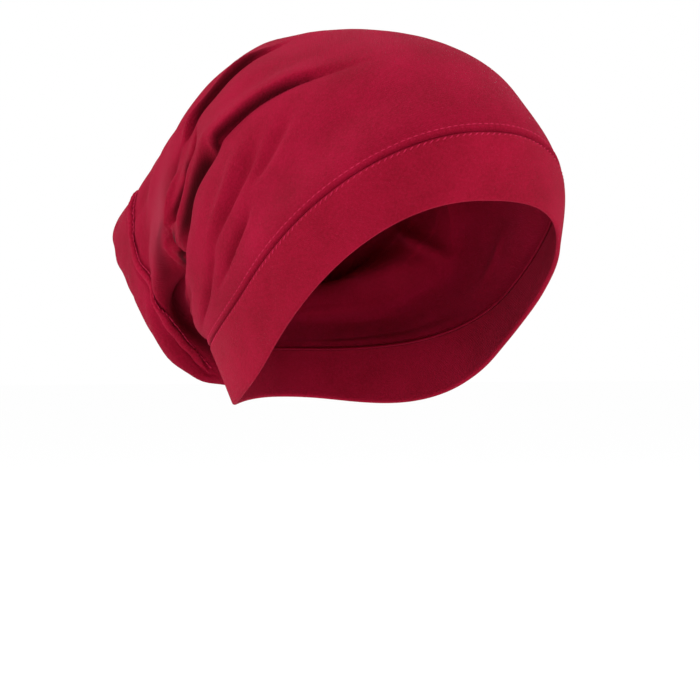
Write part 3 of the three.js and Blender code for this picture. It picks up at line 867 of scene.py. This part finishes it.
# %% Tube maker
def tube_of(name, sections):
    """A closed tube from a run of cross-sections, its ends capped with fans."""
    count, around = sections.shape[:2]
    points = sections.reshape(-1, 3).tolist()
    faces = []
    for i in range(count - 1):
        for j in range(around):
            k = (j + 1) % around
            faces.append((i * around + j, i * around + k, (i + 1) * around + k, (i + 1) * around + j))
    for i in (0, count - 1):
        points.append(sections[i].mean(axis=0).tolist())
        centre = len(points) - 1
        for j in range(around):
            k = (j + 1) % around
            pair = (i * around + k, i * around + j) if i == 0 else (i * around + j, i * around + k)
            faces.append((centre, *pair))
    obj = mesh_object(name, [[c * MM for c in p] for p in points], faces)
    activate(obj)
    bpy.ops.object.mode_set(mode="EDIT")
    bpy.ops.mesh.select_all(action="SELECT")
    bpy.ops.mesh.normals_make_consistent(inside=False)
    bpy.ops.object.mode_set(mode="OBJECT")
    obj.data.shade_smooth()
    return obj


print("a tube maker for the ridge")

# %% Back seam piece
RIDGE_WIDTH = 4.2  # millimetres, as the height and the pitch of the stitches
RIDGE_HEIGHT = 1.7
PUCKER_PITCH = 2.3
RIDGE_AROUND = 18
START_STEPS, END_STEPS = 55, 30  # over these the ridge rises from the cloth and sinks again
LEAST_SIZE = 0.15
PUCKER_SHARE = 0.08
STEEP_POWER = 0.75  # the side with the stitches stands up steeper and is narrower
STEEP_NARROW = 0.18
UNDERSIDE = 0.25


def ridge_section(i):
    """The points round the ridge at one place of the seam line, in millimetres."""
    ends = float(smooth(i / START_STEPS) * smooth((RIDGE_STEPS - 1 - i) / END_STEPS))
    pull = 0.5 * math.cos(2 * math.pi * run[i] / PUCKER_PITCH + 0.9 * math.sin(run[i] / 11))
    size = (LEAST_SIZE + (1 - LEAST_SIZE) * ends) * (1 + PUCKER_SHARE * pull)
    sway = ends * (0.35 * math.sin(run[i] / 5.3) + 0.2 * math.sin(run[i] / 2.1 + 1))
    section = []
    for k in range(RIDGE_AROUND):
        a = 2 * math.pi * k / RIDGE_AROUND
        wide, high = math.cos(a), math.sin(a)
        steep = wide > 0
        if high > 0:
            rise = high ** (STEEP_POWER if steep else 1.0)
        else:
            rise = UNDERSIDE * high
        aside = wide * RIDGE_WIDTH / 2 * size * (1 - STEEP_NARROW * steep) + sway
        up = CROWN_CLOTH / MM / 2 + rise * RIDGE_HEIGHT * size
        section.append(points[i] + across[i] * aside + directions[i] * up)
    return section


sections = np.array([ridge_section(i) for i in range(RIDGE_STEPS)])
ridge_piece = tube_of("back_seam_ridge", sections)
print("back seam ridge", triangles(ridge_piece), "triangles")

# %% [markdown]
# ## Stitches
#
# Two rows of thread hold the band: short dashes on the crown a little above the seam, and short
# slanted ticks over the top edge of the band. A third row runs along the back seam. One stitch is
# modelled as a small rounded bar and then copied along the rows, each copy turned to follow its
# seam. A dashed line in the material would cost less, but real dashes catch the light and keep
# their depth from close by.


# %% One stitch
STITCH_THIN = 0.45
STITCH_SINK = 0.35
STITCH_ROUND = 0.75


def model_stitch(name, length, width, height):
    """A rounded thread bar along X, made from a cube, in metres at the origin. Towards its ends it
    thins, and sinks into the cloth."""
    bpy.ops.object.select_all(action="DESELECT")
    bpy.ops.mesh.primitive_cube_add(size=1, location=(0, 0, 0))
    obj = bpy.context.active_object
    obj.name = name
    bpy.ops.object.mode_set(mode="EDIT")
    bpy.ops.mesh.select_all(action="SELECT")
    bpy.ops.transform.resize(value=(length, width, height))
    bpy.ops.mesh.subdivide(number_cuts=1)
    bpy.ops.object.mode_set(mode="OBJECT")
    for v in obj.data.vertices:
        share = abs(v.co.x) / (length / 2)
        v.co.y *= 1 - STITCH_THIN * share**2
        v.co.z *= 1 - STITCH_THIN * share**2
        if abs(v.co.y) > 1e-7 and abs(v.co.z) > 1e-7:
            v.co.y *= STITCH_ROUND
            v.co.z *= STITCH_ROUND
        v.co.z -= STITCH_SINK * height * share**2
    return obj


stitch = model_stitch("stitch", 2.2 * MM, 0.6 * MM, 0.46 * MM)
print("one stitch has", triangles(stitch), "triangles")


# %% Rows of stitches
def copies_of(name, pattern, places):
    """One piece that holds a copy of the pattern at each place, turned to its three directions."""
    source = np.array([v.co[:] for v in pattern.data.vertices])
    faces = [tuple(p.vertices) for p in pattern.data.polygons]
    points, all_faces = [], []
    for centre, along, sideways, up in places:
        start = len(points)
        turned = source @ np.array([along, sideways, up])
        points.extend((turned + centre).tolist())
        all_faces.extend(tuple(start + v for v in face) for face in faces)
    obj = mesh_object(name, points, all_faces)
    obj.data.shade_smooth()
    return obj


def row_places(line, outs, height, pitch, aside=0.0, slant=0.0):
    """Places along a closed line on the cloth whose outward directions are outs. height and aside
    move them off the cloth and towards the rim, in millimetres, and slant turns them on it."""
    closed_line = np.concatenate([line, line[:1]])
    steps = np.linalg.norm(np.diff(closed_line, axis=0), axis=1)
    run = np.concatenate([[0], np.cumsum(steps)])
    count = int(round(run[-1] / pitch))
    places = []
    for k in range(count):
        want = run[-1] * k / count
        j = min(int(np.searchsorted(run, want, side="right")) - 1, len(line) - 1)
        s = (want - run[j]) / steps[j]
        nxt = (j + 1) % len(line)
        centre = line[j] * (1 - s) + line[nxt] * s
        up = outs[j] * (1 - s) + outs[nxt] * s
        up /= np.linalg.norm(up)
        along = line[nxt] - line[j]
        along -= up * np.dot(along, up)
        along /= np.linalg.norm(along)
        sideways = np.cross(up, along)
        centre = centre + up * height + sideways * aside
        along = along * math.cos(slant) + sideways * math.sin(slant)
        places.append((centre * MM, along, np.cross(up, along), up))
    return places


print("makers for rows of stitches")

# %% Band seam stitches
STITCH_PITCH = 3.0  # millimetres, as the heights and the offset
DASH_ROW = 1.12
DASH_HEIGHT = CROWN_CLOTH / MM / 2 + 0.02
TICK_HEIGHT = 1.0
TICK_ASIDE = 1.8
TICK_SLANT = 0.5  # radians

dash_ring = int(np.searchsorted(rows, DASH_ROW))
dashes = row_places(folded[dash_ring], crown_out[dash_ring], DASH_HEIGHT, STITCH_PITCH)
seam_ring = int(np.searchsorted(rows, SEAM_ROW - 0.001))
ticks = row_places(
    plain[seam_ring], normals[seam_ring], TICK_HEIGHT, STITCH_PITCH, TICK_ASIDE, TICK_SLANT)
band_stitches = copies_of("band_seam_stitches", stitch, dashes + ticks)
print(len(dashes), "dashes and", len(ticks), "ticks on the band seam")

# %% Back seam stitches
BACK_STITCH_HEIGHT = CROWN_CLOTH / MM / 2 + 0.12
seam_places = []
count = int(run[-1] / PUCKER_PITCH)
for k in range(1, count):
    i = int(np.searchsorted(run, run[-1] * k / count))
    up = directions[i]
    place = points[i] + across[i] * RIDGE_WIDTH / 2 + up * BACK_STITCH_HEIGHT
    seam_places.append((place * MM, ways[i], np.cross(up, ways[i]), up))
back_stitches = copies_of("back_seam_stitches", stitch, seam_places)
bpy.data.objects.remove(stitch, do_unlink=True)
print("back stitches", len(seam_places))

# %% [markdown]
# ## The knit
#
# Jersey is knitted from one thread: columns of small V-shaped loops. Close by they show as a fine
# grain, from afar as a soft, slightly mottled matt surface. They could be modelled as threads, but
# a cap has far too many. A group of nodes draws them from the map of the cloth, which is in metres,
# so one loop stays about a millimetre wide everywhere.


# %% Node helpers
def new_group(name, inputs, outputs):
    """A node group with these sockets, and its two end nodes."""
    group = bpy.data.node_groups.new(name, "ShaderNodeTree")
    for label, kind, value in inputs:
        socket = group.interface.new_socket(label, in_out="INPUT", socket_type=kind)
        if value is not None:
            socket.default_value = value
    for label, kind in outputs:
        group.interface.new_socket(label, in_out="OUTPUT", socket_type=kind)
    start = group.nodes.new("NodeGroupInput")
    end = group.nodes.new("NodeGroupOutput")
    return group, start, end


def math_node(tree, operation, first, second=None, clamp=False):
    """One sum on values that are numbers or sockets."""
    node = tree.nodes.new("ShaderNodeMath")
    node.operation = operation
    node.use_clamp = clamp
    for slot, value in ((0, first), (1, second)):
        if value is None:
            continue
        if isinstance(value, (int, float)):
            node.inputs[slot].default_value = value
        else:
            tree.links.new(value, node.inputs[slot])
    return node.outputs[0]


def noise_node(tree, vector, scale, detail, rough=0.5):
    node = tree.nodes.new("ShaderNodeTexNoise")
    node.inputs["Scale"].default_value = scale
    node.inputs["Detail"].default_value = detail
    node.inputs["Roughness"].default_value = rough
    tree.links.new(vector, node.inputs["Vector"])
    return node.outputs["Fac"]


def ramp_node(tree, value, low, high):
    node = tree.nodes.new("ShaderNodeMapRange")
    node.inputs["From Min"].default_value = low
    node.inputs["From Max"].default_value = high
    tree.links.new(value, node.inputs["Value"])
    return node.outputs["Result"]


print("helpers for groups, sums, noise and ramps")

# %% Knit group
knit, knit_in, knit_out = new_group(
    "jersey_knit",
    [("Vector", "NodeSocketVector", None), ("Position", "NodeSocketVector", None),
     ("Wale", "NodeSocketFloat", 0.00105), ("Course", "NodeSocketFloat", 0.0008)],
    [("Height", "NodeSocketFloat"), ("Gap", "NodeSocketFloat")],
)
split = knit.nodes.new("ShaderNodeSeparateXYZ")
knit.links.new(knit_in.outputs["Vector"], split.inputs[0])
wobble = noise_node(knit, knit_in.outputs["Position"], 420, 2)
sway = math_node(knit, "MULTIPLY", math_node(knit, "SUBTRACT", wobble, 0.5), 0.9)
columns = math_node(knit, "DIVIDE", split.outputs["X"], knit_in.outputs["Wale"])
columns = math_node(knit, "ADD", columns, sway)
in_column = math_node(knit, "FRACT", columns)
from_middle = math_node(knit, "ABSOLUTE", math_node(knit, "SUBTRACT", in_column, 0.5))
lines = math_node(knit, "DIVIDE", split.outputs["Y"], knit_in.outputs["Course"])
lines = math_node(knit, "ADD", lines, math_node(knit, "MULTIPLY", from_middle, 1.3))
lines = math_node(knit, "ADD", lines, sway)
wave = math_node(knit, "SINE", math_node(knit, "MULTIPLY", lines, 2 * math.pi))
legs = math_node(knit, "SUBTRACT", 0.25, math_node(knit, "ABSOLUTE", math_node(
    knit, "SUBTRACT", from_middle, 0.25)))
legs = math_node(knit, "MULTIPLY", legs, 3.2)
height = math_node(knit, "ADD", math_node(knit, "MULTIPLY", wave, 0.32), legs)
knit.links.new(height, knit_out.inputs["Height"])
gap = math_node(knit, "SUBTRACT", 0.35, height, clamp=True)
knit.links.new(math_node(knit, "MULTIPLY", gap, 1.6, clamp=True), knit_out.inputs["Gap"])
print("knit group has", len(knit.nodes), "nodes")

# %% [markdown]
# ## Dye, wear and painted shade
#
# Dyed jersey is never one even red. The dye takes unevenly, and fuzz on the crests of the folds
# looks paler. Shade is painted into the hollows between the folds: the lower the cloth lies, the
# darker its red. A second group makes these masks, so every cloth of the cap ages and is shaded
# the same way.

# %% Dye, wear and painted shade group
wear, wear_in, wear_out = new_group(
    "cloth_wear_and_shade",
    [("Position", "NodeSocketVector", None), ("Crest", "NodeSocketFloat", 0.0),
     ("Mottle", "NodeSocketFloat", 2.4)],
    [("Mottle", "NodeSocketFloat"), ("Fuzz", "NodeSocketFloat"), ("Depth", "NodeSocketFloat")],
)
blotch = noise_node(wear, wear_in.outputs["Position"], 38, 3, 0.6)
speck = noise_node(wear, wear_in.outputs["Position"], 900, 2, 0.7)
both = math_node(wear, "ADD", math_node(wear, "MULTIPLY", blotch, 0.5),
                 math_node(wear, "MULTIPLY", speck, 0.5))
spread = math_node(wear, "MULTIPLY", math_node(wear, "SUBTRACT", both, 0.47),
                   wear_in.outputs["Mottle"])
wear.links.new(math_node(wear, "ADD", spread, 0.5, clamp=True), wear_out.inputs["Mottle"])
lint = ramp_node(wear, noise_node(wear, wear_in.outputs["Position"], 1500, 2, 0.6), 0.58, 0.75)
high = ramp_node(wear, wear_in.outputs["Crest"], -0.1, 0.8)
wear.links.new(math_node(wear, "MULTIPLY", lint, math_node(wear, "ADD", math_node(
    wear, "MULTIPLY", high, 0.7), 0.3), clamp=True), wear_out.inputs["Fuzz"])
# painted shade: where the cloth lies low between the folds, it is darkened
hollow_shade = ramp_node(wear, math_node(wear, "MULTIPLY", wear_in.outputs["Crest"], -1), 0.15, 1.0)
wear.links.new(hollow_shade, wear_out.inputs["Depth"])
print("wear group has", len(wear.nodes), "nodes")

# %% [markdown]
# ## Cloth materials
#
# All the cloth is nearly one raspberry red. The thread that shows is a paler red: partly its own
# colour, partly a painted highlight.
# Where the jersey is pulled tight over the pouch its gaps open and show pale dots. Shade is
# painted in too: the hollows between folds are darkened, and the deepest creases are painted
# nearly black. One painted picture could hold all of this, but colours mixed by nodes stay sharp
# at any size.

# %% Colours
CROWN_RED = (0.325, 0.0045, 0.030)
CROWN_DARK = (0.175, 0.0016, 0.010)
BAND_RED = (0.34, 0.0050, 0.029)
BAND_DARK = (0.19, 0.002, 0.011)
SEAM_RED = (0.34, 0.006, 0.033)
# paler thread red, partly a painted highlight on the thread
THREAD_RED = (0.52, 0.022, 0.075)
PALE = (0.60, 0.045, 0.13)
STRETCHED = (0.50, 0.12, 0.17)
# nearly black: painted shade for the deepest creases
CREASE_SHADE_COLOUR = (0.030, 0.0006, 0.0018)
GAP_SHARE = 0.45
FUZZ_SHARE = 0.35
DOT_SHARE = 0.9
# how far the painted shade darkens the hollows between folds
HOLLOW_SHADE_SHARE = 0.35
# how far the painted crease shade darkens the cloth
CREASE_SHADE_SHARE = 0.95
print("reds for crown, band, seam and thread:", CROWN_RED, BAND_RED, SEAM_RED, THREAD_RED)


# %% Cloth material
def mix_colour(tree, factor, first, second):
    """One colour mixed into another. Each value is a socket or a colour or number of its own."""
    node = tree.nodes.new("ShaderNodeMix")
    node.data_type = "RGBA"
    for name, value in (("Factor", factor), ("A", first), ("B", second)):
        slot = [s for s in node.inputs if s.name == name and s.enabled][-1]
        if isinstance(value, tuple):
            slot.default_value = (*value, 1)
        elif isinstance(value, float):
            slot.default_value = value
        else:
            tree.links.new(value, slot)
    return [s for s in node.outputs if s.enabled][0]


def blend(tree, mask, share, under, over):
    """Lays one colour over another where a mask is, at most by the share."""
    return mix_colour(tree, math_node(tree, "MULTIPLY", mask, share), under, over)


def mark_of(tree, name):
    """A mark that is stored on the points of a sheet."""
    node = tree.nodes.new("ShaderNodeAttribute")
    node.attribute_name = name
    return node.outputs["Fac"]


def jersey(name, shade, dark, marked, bump=0.55):
    """A knit finish. marked says that the piece has the map and the fold marks of a sheet, and only
    then is shade painted into its hollows and deepest creases.
    """
    material = bpy.data.materials.new(name)
    material.use_nodes = True
    tree = material.node_tree
    shader = tree.nodes["Principled BSDF"]
    coordinates = tree.nodes.new("ShaderNodeTexCoord")
    position = coordinates.outputs["Object"]
    knit_node = tree.nodes.new("ShaderNodeGroup")
    knit_node.node_tree = knit
    wear_node = tree.nodes.new("ShaderNodeGroup")
    wear_node.node_tree = wear
    tree.links.new(position, knit_node.inputs["Position"])
    tree.links.new(position, wear_node.inputs["Position"])
    tree.links.new(coordinates.outputs["UV"] if marked else position, knit_node.inputs["Vector"])
    colour = mix_colour(tree, wear_node.outputs["Mottle"], dark, shade)
    colour = blend(tree, knit_node.outputs["Gap"], GAP_SHARE, colour, dark)
    colour = blend(tree, wear_node.outputs["Fuzz"], FUZZ_SHARE, colour, PALE)
    if marked:
        tree.links.new(mark_of(tree, "crest"), wear_node.inputs["Crest"])
        dots = math_node(tree, "MULTIPLY", knit_node.outputs["Gap"], mark_of(tree, "stretch"))
        colour = blend(tree, dots, DOT_SHARE, colour, STRETCHED)
        # painted shade: the hollows between folds are darkened
        colour = blend(tree, wear_node.outputs["Depth"], HOLLOW_SHADE_SHARE, colour, dark)
        # painted shade: the deepest creases turn nearly black by the mark inside
        colour = blend(tree, mark_of(tree, "inside"), CREASE_SHADE_SHARE, colour, CREASE_SHADE_COLOUR)
    tree.links.new(colour, shader.inputs["Base Color"])
    rough = math_node(tree, "ADD", math_node(
        tree, "MULTIPLY", wear_node.outputs["Mottle"], 0.16), 0.76)
    tree.links.new(rough, shader.inputs["Roughness"])
    bump_node = tree.nodes.new("ShaderNodeBump")
    bump_node.inputs["Strength"].default_value = bump
    bump_node.inputs["Distance"].default_value = 0.0003
    lumps = math_node(tree, "ADD", knit_node.outputs["Height"], math_node(
        tree, "MULTIPLY", wear_node.outputs["Mottle"], 1.2))
    tree.links.new(lumps, bump_node.inputs["Height"])
    tree.links.new(bump_node.outputs["Normal"], shader.inputs["Normal"])
    shader.inputs["Specular IOR Level"].default_value = 0.03
    shader.inputs["Sheen Weight"].default_value = 0.04
    shader.inputs["Sheen Roughness"].default_value = 0.45
    shader.inputs["Sheen Tint"].default_value = (1.0, 0.30, 0.50, 1)
    return material


crown_material = jersey("crown_jersey", CROWN_RED, CROWN_DARK, True)
band_material = jersey("band_jersey", BAND_RED, BAND_DARK, True)
seam_material = jersey("seam_jersey", SEAM_RED, CROWN_DARK, False)
thread_material = jersey("sewing_thread", THREAD_RED, SEAM_RED, False, bump=0.2)
for piece, material in (
    (crown, crown_material), (band, band_material), (ridge_piece, seam_material),
    (band_stitches, thread_material), (back_stitches, thread_material),
):
    piece.data.materials.append(material)
print("materials", [m.name for m in bpy.data.materials])

# %% [markdown]
# ## Tying the pieces to the cap
#
# Each piece is tied to the cap, and the parts of the fixed model that the pieces stand for are
# hidden.

# %% Tie the pieces to the cap
for piece in (crown, band, ridge_piece, band_stitches, back_stitches):
    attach(piece, "root")
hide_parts("crown")
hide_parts("front_band")
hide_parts("back_seam")
